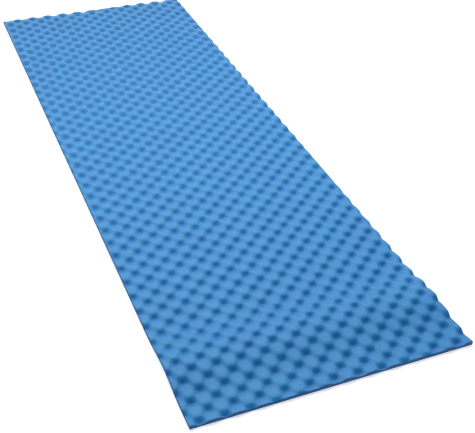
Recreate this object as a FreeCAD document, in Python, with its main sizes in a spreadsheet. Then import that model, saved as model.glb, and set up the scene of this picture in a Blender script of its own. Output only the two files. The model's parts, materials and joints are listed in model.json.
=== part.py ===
import FreeCAD
import Part

import math
import os

# Foam sleeping pad: one sheet of closed-cell foam with a flat underside and a top
# moulded into broad staggered bumps with narrower pits between them. The bumps lean
# towards the near end, so each is steep on its near side and slopes gently on its far
# side. The rows bow a little towards the near end at both sides. The sheet bends anywhere
# along its length. Here it is cut across its width into strips, and each bend line
# between two strips is a hinge along the top of the bumps.
#
# Frame: X across the pad, Y along it from the near end to the far end, Z up.
# The origin is on the floor, under the middle of the pad.

# The driving sizes, in mm and degrees.
SIZES = [
    ("pad_width", 610.0),
    ("pad_length", 1829.0),
    ("bump_height", 10.0),
    ("pit_height", 2.4),
    ("pit_sharpness", 1.5),
    ("bump_lean", 0.7),
    ("column_pitch", 50.7),
    ("row_pitch", 48.3),
    ("row_skew_deg", 4.4),
    ("row_bow", 6.0),
    ("column_skew_deg", 1.5),
    ("pattern_offset_across", 18.8),
    ("pattern_offset_along", -38.0),
    ("wave_height", 10.5),
    ("wave_length", 210.0),
    ("strip_count", 57.0),
    ("bend_per_strip_deg", 30.0),
    ("wrap_pitch", 13.4),
    ("bend_gap", 0.8),
    ("points_per_bump", 12.0),
]

doc = FreeCAD.newDocument("FoamSleepingPad")
sheet = doc.addObject("Spreadsheet::Sheet", "Sizes")


def add_size(name, value):
    """Writes one size into the next row of the sheet, with its name as the alias."""
    row = len(sheet.getUsedCells()) // 2 + 1
    sheet.set(f"A{row}", name)
    sheet.set(f"B{row}", str(value))
    sheet.setAlias(f"B{row}", name)


for name, value in SIZES:
    add_size(name, value)
doc.recompute()


def size(name):
    """One driving size, read back from the sheet."""
    return float(sheet.get(name))


WIDTH = size("pad_width")
LENGTH = size("pad_length")
BUMP_TOP = size("bump_height")
PIT_DEPTH = size("bump_height") - size("pit_height")
SHARPNESS = size("pit_sharpness")
LEAN = size("bump_lean")
STRIPS = int(size("strip_count"))
HALF_GAP = size("bend_gap") / 2
GRID_STEP = size("row_pitch") / size("points_per_bump")
GRID_MARGIN = 2


# Rolled up, every bend turns by the same angle, so the hinge line is a polygon spiral.
# Its wraps stay one wrap_pitch apart if each strip is shorter than the one before it by
# a fixed step.
bend = math.radians(size("bend_per_strip_deg"))
add_size("strip_step", 2 * math.sin(bend / 2) * size("wrap_pitch") * bend / (2 * math.pi))
doc.recompute()
add_size("longest_strip", LENGTH / STRIPS + size("strip_step") * (STRIPS - 1) / 2)
doc.recompute()


def strip_lengths():
    """Lengths from the near end to the far end."""
    return [size("longest_strip") - size("strip_step") * i for i in range(STRIPS)]


def wave_lift(distance, start):
    """Height of the low wave that the foam has kept near its near end."""
    share = (distance - start) / size("wave_length")
    if share <= 0 or share >= 1:
        return 0.0
    return size("wave_height") * math.sin(math.pi * share) ** 2


def resting_line():
    """Where each strip starts and how it tilts as the pad lies on the floor.

    Gives (starts, tilts): each start is (distance along the foam, y, lift) at the
    strip's near hinge, and each tilt is in radians, nose up positive.
    """
    lengths = strip_lengths()
    wave_start = lengths[0]
    starts = []
    tilts = []
    distance = 0.0
    y = 0.0
    lift = 0.0
    for length in lengths:
        starts.append((distance, y, lift))
        next_lift = wave_lift(distance + length, wave_start)
        tilt = math.asin((next_lift - lift) / length)
        tilts.append(tilt)
        distance += length
        y += length * math.cos(tilt)
        lift = next_lift
    middle = y / 2
    starts = [(d, start_y - middle, z) for d, start_y, z in starts]
    return starts, tilts


def pit_lattice():
    """The steps from one pit to the next across and along the pad, as (x, y) pairs."""
    row_skew = math.radians(size("row_skew_deg"))
    column_skew = math.radians(size("column_skew_deg"))
    across = (size("column_pitch") * math.cos(row_skew), -size("column_pitch") * math.sin(row_skew))
    along = (size("row_pitch") * math.sin(column_skew), size("row_pitch") * math.cos(column_skew))
    return across, along


ACROSS, ALONG = pit_lattice()
CELL_AREA = ACROSS[0] * ALONG[1] - ACROSS[1] * ALONG[0]


def top_height(x, distance):
    """Height of the moulded top above the underside, at a place on the flat sheet."""
    dx = x - size("pattern_offset_across")
    bow = size("row_bow") * (2 * x / WIDTH) ** 2
    dy = distance - LENGTH / 2 - size("pattern_offset_along") + bow
    column = (dx * ALONG[1] - dy * ALONG[0]) / CELL_AREA
    row = (dy * ACROSS[0] - dx * ACROSS[1]) / CELL_AREA
    swell = math.cos(2 * math.pi * column)
    turn = 2 * math.pi * row
    leaning_turn = turn - LEAN * swell * math.cos(turn)
    sink = (1 + swell * math.cos(leaning_turn)) / 2
    return BUMP_TOP - PIT_DEPTH * sink ** SHARPNESS


def wave_block(distance, length):
    """A block under the moulded top, larger than one strip all round and below it."""
    columns = math.ceil(WIDTH / GRID_STEP)
    rows = max(5, math.ceil(length / GRID_STEP))
    grid = []
    for i in range(-GRID_MARGIN, columns + GRID_MARGIN + 1):
        x = WIDTH * (i / columns - 0.5)
        line = []
        for j in range(-GRID_MARGIN, rows + GRID_MARGIN + 1):
            y = length * j / rows
            line.append(FreeCAD.Vector(x, y, top_height(x, distance + y)))
        grid.append(line)
    surface = Part.BSplineSurface()
    surface.interpolate(grid)
    return surface.toShape().extrude(FreeCAD.Vector(0, 0, -2 * BUMP_TOP))


def end_gap(turn):
    """How far an end face stays from the hinge above it.

    turn is how much the foam bends up at the hinge as it lies on the floor. Where it
    arches instead, the faces stay further back so that they don't meet at the underside.
    """
    return HALF_GAP + BUMP_TOP * math.tan(max(0.0, -turn) / 2)


def strip_name(number):
    """Strip 01 is at the near end of the pad."""
    ends = {1: "_near_end", STRIPS: "_far_end"}
    return f"foam_strip_{number:02d}{ends.get(number, '')}"


lengths = strip_lengths()
starts, tilts = resting_line()
strips = []
for index in range(STRIPS):
    name = strip_name(index + 1)
    distance, y, lift = starts[index]
    near_gap = 0.0
    far_gap = 0.0
    if index > 0:
        near_gap = end_gap(tilts[index] - tilts[index - 1])
    if index < STRIPS - 1:
        far_gap = end_gap(tilts[index + 1] - tilts[index])

    blank = doc.addObject("Part::Box", f"blank_{index + 1:02d}")
    blank.setExpression("Length", "Sizes.pad_width")
    blank.setExpression("Width", f"Sizes.longest_strip - {index} * Sizes.strip_step - {near_gap + far_gap:.6f}")
    blank.setExpression("Height", "2 * Sizes.bump_height")
    blank.setExpression("Placement.Base.x", "-Sizes.pad_width / 2")
    blank.Placement.Base.y = near_gap

    waves = doc.addObject("Part::Feature", f"waves_{index + 1:02d}")
    waves.Shape = wave_block(distance, lengths[index])

    strip = doc.addObject("Part::Common", name)
    strip.Label = name
    strip.Base = blank
    strip.Tool = waves
    turn = FreeCAD.Rotation(FreeCAD.Vector(1, 0, 0), math.degrees(tilts[index]))
    hinge = FreeCAD.Vector(0, 0, BUMP_TOP)
    place = FreeCAD.Vector(0, y, BUMP_TOP + lift)
    strip.Placement = FreeCAD.Placement(place - turn.multVec(hinge), turn)
    strips.append(strip)
doc.recompute()

for item in doc.Objects:
    if "Invalid" in item.State or "Error" in item.State:
        raise RuntimeError(f"{item.Label} did not build")
for strip in strips:
    if strip.Shape.isNull() or not strip.Shape.isValid():
        raise RuntimeError(f"{strip.Label} has no sound shape")
    if len(strip.Shape.Solids) != 1:
        raise RuntimeError(f"{strip.Label} is not one solid")

os.makedirs("parts", exist_ok=True)
for strip in strips:
    strip.Shape.exportStep(os.path.join("parts", f"{strip.Label}.step"))
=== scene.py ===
import json
import math

import bpy
import numpy as np
from mathutils import Matrix, Vector

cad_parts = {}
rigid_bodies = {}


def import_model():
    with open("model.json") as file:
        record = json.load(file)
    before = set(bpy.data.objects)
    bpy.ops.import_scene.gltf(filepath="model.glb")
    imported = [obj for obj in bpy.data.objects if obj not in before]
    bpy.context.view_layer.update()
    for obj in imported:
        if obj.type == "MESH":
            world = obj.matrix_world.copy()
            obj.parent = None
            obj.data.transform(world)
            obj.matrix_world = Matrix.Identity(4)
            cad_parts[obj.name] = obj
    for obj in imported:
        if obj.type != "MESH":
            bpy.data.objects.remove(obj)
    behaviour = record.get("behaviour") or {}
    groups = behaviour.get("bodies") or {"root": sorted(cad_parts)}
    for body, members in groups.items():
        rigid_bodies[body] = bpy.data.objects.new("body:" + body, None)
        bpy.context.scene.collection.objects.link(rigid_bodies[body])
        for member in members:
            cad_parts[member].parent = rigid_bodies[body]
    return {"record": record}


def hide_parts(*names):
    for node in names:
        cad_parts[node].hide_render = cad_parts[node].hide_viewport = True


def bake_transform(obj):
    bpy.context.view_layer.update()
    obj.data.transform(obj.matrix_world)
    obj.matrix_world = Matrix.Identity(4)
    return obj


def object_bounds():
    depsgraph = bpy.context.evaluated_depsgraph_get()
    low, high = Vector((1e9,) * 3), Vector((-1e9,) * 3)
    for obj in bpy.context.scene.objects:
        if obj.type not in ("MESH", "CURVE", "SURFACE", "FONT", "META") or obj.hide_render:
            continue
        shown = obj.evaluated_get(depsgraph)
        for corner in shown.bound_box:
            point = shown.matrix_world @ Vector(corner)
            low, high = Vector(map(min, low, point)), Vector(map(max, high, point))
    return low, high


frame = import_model()
cad_low, cad_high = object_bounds()

# ---------------------------------------------------------------------------
# The pad in metres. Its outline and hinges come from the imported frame; the pattern of
# the bumps and the low wave repeat the CAD model's formulas.
# ---------------------------------------------------------------------------
BUMP_TOP = 0.0100
PIT = 0.0024
LEAN = 0.7
PIT_SHARPNESS = 1.5
COLUMN_PITCH, ROW_PITCH = 0.0507, 0.0483
ROW_SKEW, COLUMN_SKEW = math.radians(4.4), math.radians(1.5)
PATTERN_AT = (0.0188, -0.0380)
ROW_BOW = 0.006
WAVE_HEIGHT, WAVE_LENGTH = 0.0105, 0.210

# Soft unevenness: how far the pattern drifts, and how much the pits differ in depth.
PATTERN_DRIFT = 0.0009
PIT_UNEVENNESS = 0.00012
TOP_CLEARANCE = 0.0001

# The mesh: its grid, the closer lines at a cut edge, and the rounding of that edge.
GRID = 0.0033
EDGE_STEPS = [0.0, 0.00022, 0.0006, 0.0012]
EDGE_STRIP = 0.0022
EDGE_ROUND = 0.0009
FOOT_ROUND = 0.0006
CUT_BORDER = 0.001
WALL_ROWS = 3
NORMAL_STEP = 0.00015

behaviour = frame["record"]["behaviour"]
joint_of_parent = {j["parent"]: j for j in behaviour["joints"]}
children = {j["child"] for j in behaviour["joints"]}
chain = [next(b for b in behaviour["bodies"] if b not in children)]
hinges = []
while chain[-1] in joint_of_parent:
    joint = joint_of_parent[chain[-1]]
    hinges.append(Vector(joint["pos_m"]))
    chain.append(joint["child"])

HALF_WIDTH = cad_high.x
near_end = Vector((0, cad_low.y, BUMP_TOP))
far_end = Vector((0, cad_high.y, BUMP_TOP))
line = [near_end] + hinges + [far_end]
line_y = np.array([p.y for p in line])
line_s = np.concatenate([[0.0], np.cumsum([(b - a).length for a, b in zip(line, line[1:])])])
LENGTH = float(line_s[-1])
WAVE_START = float(line_s[1])


def smooth_noise(x, y, scale, seed):
    """Soft seeded unevenness between -1 and 1, the same on every run."""
    u, v = x / scale, y / scale
    i, j = np.floor(u), np.floor(v)
    fu, fv = u - i, v - j
    fu, fv = fu * fu * (3 - 2 * fu), fv * fv * (3 - 2 * fv)

    def corner(a, b):
        t = np.sin(a * 127.1 + b * 311.7 + seed * 74.7) * 43758.5453
        return 2 * (t - np.floor(t)) - 1

    low = corner(i, j) * (1 - fu) + corner(i + 1, j) * fu
    high = corner(i, j + 1) * (1 - fu) + corner(i + 1, j + 1) * fu
    return low * (1 - fv) + high * fv


def wave(s):
    """Height and slope of the low wave kept near the near end."""
    share = np.clip((s - WAVE_START) / WAVE_LENGTH, 0, 1)
    lift = WAVE_HEIGHT * np.sin(np.pi * share) ** 2
    slope = WAVE_HEIGHT * np.pi / WAVE_LENGTH * np.sin(2 * np.pi * share)
    return lift, slope


def bump_share(x, s):
    """0 at the bottom of a pit and 1 at the top of a bump."""
    across = (COLUMN_PITCH * math.cos(ROW_SKEW), -COLUMN_PITCH * math.sin(ROW_SKEW))
    along = (ROW_PITCH * math.sin(COLUMN_SKEW), ROW_PITCH * math.cos(COLUMN_SKEW))
    area = across[0] * along[1] - across[1] * along[0]
    dx = x - PATTERN_AT[0] + PATTERN_DRIFT * smooth_noise(x, s, 0.11, 3)
    bow = ROW_BOW * (x / HALF_WIDTH) ** 2
    dy = s - LENGTH / 2 - PATTERN_AT[1] + bow + PATTERN_DRIFT * smooth_noise(x, s, 0.13, 4)
    swell = np.cos(2 * np.pi * (dx * along[1] - dy * along[0]) / area)
    turn = 2 * np.pi * (dy * across[0] - dx * across[1]) / area
    sink = (1 + swell * np.cos(turn - LEAN * swell * np.cos(turn))) / 2
    return 1 - sink ** PIT_SHARPNESS


def rounded(distance, radius):
    """How far a rounded edge has dropped at a distance in from that edge."""
    inside = np.clip(radius - distance, 0, radius)
    return radius - np.sqrt(radius * radius - inside * inside)


def skin(x, s):
    """Heights of the top and of the underside above the foam's flat base."""
    x, s = np.broadcast_arrays(np.asarray(x, float), np.asarray(s, float))
    share = bump_share(x, s)
    uneven = PIT_UNEVENNESS * smooth_noise(x, s, 0.06, 7)
    top = PIT + (BUMP_TOP - PIT - TOP_CLEARANCE) * share + uneven * (1 - share)
    edge = np.minimum(HALF_WIDTH - np.abs(x), np.minimum(s, LENGTH - s))
    top = top - rounded(edge, EDGE_ROUND)
    foot = rounded(edge, FOOT_ROUND)
    return top, foot, share


def place(x, s, n):
    """Points, in the frame's axes, of foam at x across, s along and n above its base."""
    lift, slope = wave(s)
    tilt = np.arctan(slope)
    y = np.interp(s, line_s, line_y) - (n - BUMP_TOP) * np.sin(tilt)
    z = BUMP_TOP + lift + (n - BUMP_TOP) * np.cos(tilt)
    return np.stack([x, y, z], -1)


def surface_normals(x, s, which):
    """Unit normals of the whole pad's top (0) or underside (1), so pieces meet without a seam."""
    xa = np.clip(x - NORMAL_STEP, -HALF_WIDTH, HALF_WIDTH)
    xb = np.clip(x + NORMAL_STEP, -HALF_WIDTH, HALF_WIDTH)
    sa = np.clip(s - NORMAL_STEP, 0, LENGTH)
    sb = np.clip(s + NORMAL_STEP, 0, LENGTH)
    du = place(xb, s, skin(xb, s)[which]) - place(xa, s, skin(xa, s)[which])
    dv = place(x, sb, skin(x, sb)[which]) - place(x, sa, skin(x, sa)[which])
    n = np.cross(du, dv)
    n /= np.linalg.norm(n, axis=-1, keepdims=True)
    return n if which == 0 else -n


def spread(low, high, near_edge, far_edge):
    """Grid lines from low to high, closer together at a cut edge."""
    count = max(4, round((high - low) / GRID))
    lines = list(np.linspace(low, high, count + 1))
    if near_edge:
        lines = [low + t for t in EDGE_STEPS] + [t for t in lines if t > low + EDGE_STRIP]
    if far_edge:
        lines = [t for t in lines if t < high - EDGE_STRIP] + [high - t for t in reversed(EDGE_STEPS)]
    return np.array(lines)


def make_piece(name, s_low, s_high, first, last, skin_material, cut_material):
    """One closed length of foam from s_low to s_high, with its top, underside and cut sides."""
    xs = spread(-HALF_WIDTH, HALF_WIDTH, True, True)
    ss = spread(s_low, s_high, first, last)
    nx, ns = len(xs), len(ss)
    X, S = np.meshgrid(xs, ss, indexing="ij")
    top, foot, share = skin(X, S)

    points, rest, shares, normals, faces, kinds = [], [], [], [], [], []

    def add(x, s, n, bump):
        base = sum(len(p) for p in points)
        points.append(place(x, s, n).reshape(-1, 3))
        rest.append(np.stack([x, s, n], -1).reshape(-1, 3))
        shares.append(np.broadcast_to(bump, np.shape(x)).reshape(-1))
        return base

    top_base = add(X, S, top, share)
    normals.append(surface_normals(X, S, 0).reshape(-1, 3))
    foot_base = add(X, S, foot, np.full_like(X, 0.5))
    normals.append(surface_normals(X, S, 1).reshape(-1, 3))

    index = np.arange(nx * ns).reshape(nx, ns)
    a, b, c, d = index[:-1, :-1], index[1:, :-1], index[1:, 1:], index[:-1, 1:]
    top_faces = np.stack([a, b, c, d], -1).reshape(-1, 4) + top_base
    foot_faces = np.stack([a, d, c, b], -1).reshape(-1, 4) + foot_base
    faces += [top_faces, foot_faces]
    # The narrow border of the top belongs to the cut edge.
    mid_x = np.abs(X[:-1, :-1] + X[1:, 1:]) / 2
    mid_s = (S[:-1, :-1] + S[1:, 1:]) / 2
    from_edge = np.minimum(HALF_WIDTH - mid_x, np.minimum(mid_s, LENGTH - mid_s))
    kinds += [(from_edge < CUT_BORDER).astype(int).reshape(-1), np.zeros(len(foot_faces), int)]

    # The rim runs once round the grid, counter-clockwise seen from above.
    rim = np.concatenate([index[:-1, 0], index[-1, :-1], index[:0:-1, -1], index[0, :0:-1]])
    rim_x, rim_s = X.reshape(-1)[rim], S.reshape(-1)[rim]
    rim_top, rim_foot = top.reshape(-1)[rim], foot.reshape(-1)[rim]
    rings = [rim + top_base]
    for k in range(1, WALL_ROWS):
        t = k / WALL_ROWS
        n = rim_top * (1 - t) + rim_foot * t
        start = add(rim_x, rim_s, n, np.full_like(rim_x, 0.5))
        normals.append(np.zeros((len(rim), 3)))
        rings.append(np.arange(len(rim)) + start)
    rings.append(rim + foot_base)
    for upper, lower in zip(rings, rings[1:]):
        wall = np.stack([upper, lower, np.roll(lower, -1), np.roll(upper, -1)], -1)
        faces.append(wall)
        kinds.append(np.ones(len(wall), int))

    points, rest = np.concatenate(points), np.concatenate(rest)
    shares, normals = np.concatenate(shares), np.concatenate(normals)
    faces, kinds = np.concatenate(faces), np.concatenate(kinds)

    mesh = bpy.data.meshes.new(name)
    mesh.vertices.add(len(points))
    mesh.vertices.foreach_set("co", points.astype(np.float32).ravel())
    mesh.loops.add(faces.size)
    mesh.loops.foreach_set("vertex_index", faces.astype(np.int32).ravel())
    mesh.polygons.add(len(faces))
    mesh.polygons.foreach_set("loop_start", np.arange(0, faces.size, 4, dtype=np.int32))
    mesh.polygons.foreach_set("material_index", kinds.astype(np.int32))
    mesh.update(calc_edges=True)
    mesh.polygons.foreach_set("use_smooth", np.ones(len(faces), bool))
    attribute = mesh.attributes.new("pad_place", "FLOAT_VECTOR", "POINT")
    attribute.data.foreach_set("vector", rest.astype(np.float32).ravel())
    attribute = mesh.attributes.new("bump_share", "FLOAT", "POINT")
    attribute.data.foreach_set("value", shares.astype(np.float32))
    mesh.materials.append(skin_material)
    mesh.materials.append(cut_material)

    # Top and underside take the whole pad's normals; the walls take their own.
    corner_normals = normals[faces.ravel()]
    is_wall = np.arange(len(faces)) >= len(top_faces) + len(foot_faces)
    corner_is_wall = np.repeat(is_wall, 4)
    p = points[faces]
    flat = np.cross(p[:, 2] - p[:, 0], p[:, 3] - p[:, 1])
    flat /= np.maximum(np.linalg.norm(flat, axis=1, keepdims=True), 1e-12)
    corner_normals[corner_is_wall] = np.repeat(flat, 4, axis=0)[corner_is_wall]
    mesh.normals_split_custom_set(corner_normals.astype(np.float32).tolist())
    mesh.validate(clean_customdata=False)

    piece = bpy.data.objects.new(name, mesh)
    bpy.context.scene.collection.objects.link(piece)
    return piece


# ---------------------------------------------------------------------------
# Materials
# ---------------------------------------------------------------------------
def node(tree, kind, **inputs):
    made = tree.nodes.new(kind)
    for key, value in inputs.items():
        made.inputs[key.replace("_", " ")].default_value = value
    return made


def ramp(tree, source, stops):
    made = tree.nodes.new("ShaderNodeValToRGB")
    elements = made.color_ramp.elements
    elements[0].position, elements[0].color = stops[0]
    elements[1].position, elements[1].color = stops[-1]
    for position, colour in stops[1:-1]:
        elements.new(position).color = colour
    tree.links.new(source, made.inputs["Fac"])
    return made


def math_node(tree, operation, a, b):
    made = tree.nodes.new("ShaderNodeMath")
    made.operation = operation
    for slot, value in enumerate((a, b)):
        if isinstance(value, (int, float)):
            made.inputs[slot].default_value = value
        else:
            tree.links.new(value, made.inputs[slot])
    return made.outputs[0]


def foam_material(name, deep, bright, roughness, cell_size, cell_depth, pit_shade_strength, foot_shadow_tone):
    """Closed-cell foam: tiny cells, a mottled blue, and a skin that shines a little.

    deep and bright are the two blues, pit_shade_strength is how much painted shade darkens the pits
    against the bumps, and foot_shadow_tone multiplies the colour along the very bottom as a painted
    contact shadow.
    """
    material = bpy.data.materials.new(name)
    material.use_nodes = True
    tree = material.node_tree
    links = tree.links
    tree.nodes.clear()
    out = tree.nodes.new("ShaderNodeOutputMaterial")
    shader = tree.nodes.new("ShaderNodeBsdfPrincipled")
    links.new(shader.outputs["BSDF"], out.inputs["Surface"])

    where = tree.nodes.new("ShaderNodeAttribute")
    where.attribute_name = "pad_place"
    height = tree.nodes.new("ShaderNodeAttribute")
    height.attribute_name = "bump_share"

    clouds = node(tree, "ShaderNodeTexNoise", Scale=9.0, Detail=4.0, Roughness=0.6)
    grain = node(tree, "ShaderNodeTexNoise", Scale=420.0, Detail=3.0, Roughness=0.7)
    cells = node(tree, "ShaderNodeTexVoronoi", Scale=1.0 / cell_size)
    cells.feature = "F1"
    walls = node(tree, "ShaderNodeTexVoronoi", Scale=1.0 / (cell_size * 2.3))
    walls.feature = "DISTANCE_TO_EDGE"
    for texture in (clouds, grain, cells, walls):
        links.new(where.outputs["Vector"], texture.inputs["Vector"])

    # Colour: mottled between two blues, darker in the pits as painted shade, speckled by the cells.
    mottled = math_node(tree, "MULTIPLY", clouds.outputs["Fac"], 0.30)
    fine = math_node(tree, "MULTIPLY", grain.outputs["Fac"], 0.35)
    mottled = math_node(tree, "ADD", mottled, fine)
    # Painted shade: the colour darkens towards the bottoms of the pits and is lightest on the bump tops.
    pit_shade_ramp = ramp(tree, height.outputs["Fac"], [(0.05, (0, 0, 0, 1)), (0.60, (1, 1, 1, 1))])
    painted_pit_shade = math_node(tree, "MULTIPLY", pit_shade_ramp.outputs["Color"], pit_shade_strength)
    tone = math_node(tree, "ADD", mottled, painted_pit_shade)
    colour = ramp(tree, tone, [(0.025, deep), (0.675, bright)])
    speckle = node(tree, "ShaderNodeMix")
    speckle.data_type = "RGBA"
    speckle.blend_type = "MULTIPLY"
    speckle.inputs["Factor"].default_value = 0.25
    links.new(colour.outputs["Color"], speckle.inputs["A"])
    cell_tone = ramp(tree, cells.outputs["Distance"], [(0.0, (0.78, 0.82, 0.88, 1)), (0.7, (1, 1, 1, 1))])
    links.new(cell_tone.outputs["Color"], speckle.inputs["B"])
    # The bottom few millimetres are darkened towards near-black: a painted contact shadow along the foot.
    axes = tree.nodes.new("ShaderNodeSeparateXYZ")
    links.new(where.outputs["Vector"], axes.inputs["Vector"])
    height_in_cm = math_node(tree, "MULTIPLY", axes.outputs["Z"], 100.0)
    foot = ramp(tree, height_in_cm, [(0.12, foot_shadow_tone), (0.42, (1, 1, 1, 1))])
    shaded = node(tree, "ShaderNodeMix")
    shaded.data_type = "RGBA"
    shaded.blend_type = "MULTIPLY"
    shaded.inputs["Factor"].default_value = 1.0
    links.new(speckle.outputs["Result"], shaded.inputs["A"])
    links.new(foot.outputs["Color"], shaded.inputs["B"])
    links.new(shaded.outputs["Result"], shader.inputs["Base Color"])

    # Roughness: the skin is a little more polished on the bumps, which get handled.
    rough = math_node(tree, "MULTIPLY", clouds.outputs["Fac"], 0.12)
    rough = math_node(tree, "ADD", rough, roughness - 0.06)
    rough = math_node(tree, "SUBTRACT", rough, math_node(tree, "MULTIPLY", height.outputs["Fac"], 0.05))
    links.new(rough, shader.inputs["Roughness"])

    # Relief: open and closed cells under a thin skin, and a fine grain.
    relief = math_node(tree, "MULTIPLY", cells.outputs["Distance"], 0.6)
    large_cells = math_node(tree, "MULTIPLY", walls.outputs["Distance"], 0.5)
    relief = math_node(tree, "ADD", relief, large_cells)
    fine_grain = math_node(tree, "MULTIPLY", grain.outputs["Fac"], 0.5)
    relief = math_node(tree, "ADD", relief, fine_grain)
    bump = node(tree, "ShaderNodeBump", Strength=0.5, Distance=cell_depth)
    links.new(relief, bump.inputs["Height"])
    links.new(bump.outputs["Normal"], shader.inputs["Normal"])

    shader.inputs["IOR"].default_value = 1.5
    shader.inputs["Specular IOR Level"].default_value = 0.33
    shader.inputs["Sheen Weight"].default_value = 0.03
    shader.inputs["Sheen Roughness"].default_value = 0.4
    return material


foam_skin = foam_material(
    "foam_skin",
    deep=(0.001, 0.096, 0.445, 1),
    bright=(0.011, 0.231, 0.508, 1),
    roughness=0.46,
    cell_size=0.0012,
    cell_depth=0.0005,
    pit_shade_strength=0.20,
    foot_shadow_tone=(1, 1, 1, 1),
)
# The cut sides use darker blues than the skin: painted shade for faces turned away from the light.
foam_cut_painted_shade = foam_material(
    "foam_cut_edge",
    deep=(0.010, 0.070, 0.200, 1),
    bright=(0.020, 0.120, 0.330, 1),
    roughness=0.75,
    cell_size=0.0009,
    cell_depth=0.0008,
    pit_shade_strength=0.0,
    # Painted contact shadow: near-black along the bottom few millimetres of the cut sides.
    foot_shadow_tone=(0.12, 0.12, 0.16, 1),
)

# ---------------------------------------------------------------------------
# The foam: one piece per bend, from the middle of a strip to the middle of the next
# ---------------------------------------------------------------------------
middles = (line_s[:-1] + line_s[1:]) / 2
last_bend = len(hinges) - 1
for k in range(len(hinges)):
    first, last = k == 0, k == last_bend
    s_low = 0.0 if first else float(middles[k])
    s_high = LENGTH if last else float(middles[k + 1])
    piece = make_piece(f"foam_length_{k + 1:02d}", s_low, s_high, first, last, foam_skin, foam_cut_painted_shade)
    stood_for = list(behaviour["bodies"][chain[k]])
    if last:
        stood_for += behaviour["bodies"][chain[k + 1]]
    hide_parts(*stood_for)
    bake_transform(piece)

# ---------------------------------------------------------------------------
# Studio
# ---------------------------------------------------------------------------
FLOOR_REACH = 14.0
FLOOR_DROP = 0.0004
floor_mesh = bpy.data.meshes.new("studio_floor")
floor_corners = [(FLOOR_REACH * a, FLOOR_REACH * b, 0) for a, b in ((-1, -1), (1, -1), (1, 1), (-1, 1))]
floor_mesh.from_pydata(floor_corners, [], [(0, 1, 2, 3)])
floor = bpy.data.objects.new("studio_floor", floor_mesh)
floor.location.z = -FLOOR_DROP
bpy.context.scene.collection.objects.link(floor)
floor_material = bpy.data.materials.new("studio_floor")
floor_material.use_nodes = True
floor_shader = floor_material.node_tree.nodes["Principled BSDF"]
floor_shader.inputs["Base Color"].default_value = (0.88, 0.88, 0.88, 1)
floor_shader.inputs["Roughness"].default_value = 0.9
floor_shader.inputs["Specular IOR Level"].default_value = 0.1
floor_shader.inputs["Emission Color"].default_value = (1, 1, 1, 1)
floor_shader.inputs["Emission Strength"].default_value = 0.50
floor_mesh.materials.append(floor_material)


def area_light(name, where, target, size, power):
    data = bpy.data.lights.new(name, "AREA")
    data.shape = "RECTANGLE"
    data.size, data.size_y = size
    data.energy = power
    lamp = bpy.data.objects.new(name, data)
    lamp.location = where
    lamp.rotation_mode = "QUATERNION"
    lamp.rotation_quaternion = (Vector(target) - Vector(where)).to_track_quat("-Z", "Y")
    lamp.visible_camera = False
    bpy.context.scene.collection.objects.link(lamp)


area_light("top_softbox", where=(0.0, 0.2, 1.2), target=(0.0, 0.2, 0.0), size=(1.6, 1.6), power=16)
area_light("back_softbox", where=(0.5, 3.6, 1.7), target=(0.0, 0.0, 0.0), size=(3.2, 1.4), power=13)

# Soft light from all round, with a bright low band behind the far end: its reflection
# lays a pale sheen over the middle and far foam and misses the near end.
world = bpy.data.worlds.new("studio")
world.use_nodes = True
sky = world.node_tree
direction = sky.nodes.new("ShaderNodeTexCoord")
parts = sky.nodes.new("ShaderNodeSeparateXYZ")
sky.links.new(direction.outputs["Generated"], parts.inputs["Vector"])
SURROUND = (0.31, 0.33, 0.39, 1)
HORIZON = (0.8, 0.8, 0.8, 1)
BAND = (3.5, 4.1, 3.6, 1)
ABOVE = (0.05, 0.05, 0.05, 1)
band_stops = [(0.42, HORIZON), (0.51, BAND), (0.60, BAND), (0.68, ABOVE)]
low_band = ramp(sky, parts.outputs["Z"], band_stops)
behind = ramp(sky, parts.outputs["Y"], [(0.05, (0, 0, 0, 1)), (0.40, (1, 1, 1, 1))])
mixed = sky.nodes.new("ShaderNodeMix")
mixed.data_type = "RGBA"
mixed.inputs["A"].default_value = SURROUND
sky.links.new(behind.outputs["Color"], mixed.inputs["Factor"])
sky.links.new(low_band.outputs["Color"], mixed.inputs["B"])
seen = sky.nodes.new("ShaderNodeMix")
seen.data_type = "RGBA"
seen.inputs["B"].default_value = (1, 1, 1, 1)
path = sky.nodes.new("ShaderNodeLightPath")
sky.links.new(path.outputs["Is Camera Ray"], seen.inputs["Factor"])
sky.links.new(mixed.outputs["Result"], seen.inputs["A"])
sky.links.new(seen.outputs["Result"], sky.nodes["Background"].inputs["Color"])
sky.nodes["Background"].inputs["Strength"].default_value = 1.0
bpy.context.scene.world = world

camera_data = bpy.data.cameras.new("camera")
camera_data.sensor_width = 36
camera_data.lens = 66.3
camera_data.clip_end = 60
camera = bpy.data.objects.new("camera", camera_data)
camera.location = (-0.6534, -1.8895, 1.2586)
AZIMUTH, DOWN, ROLL = math.radians(23.65), math.radians(36.8), math.radians(2.16)
look = Vector((math.sin(AZIMUTH) * math.cos(DOWN), math.cos(AZIMUTH) * math.cos(DOWN), -math.sin(DOWN)))
camera.rotation_mode = "QUATERNION"
camera.rotation_quaternion = (
    look.to_track_quat("-Z", "Y").to_matrix() @ Matrix.Rotation(ROLL, 3, "Z")
).to_quaternion()
bpy.context.scene.collection.objects.link(camera)
bpy.context.scene.camera = camera
bpy.context.scene.view_settings.view_transform = "Standard"
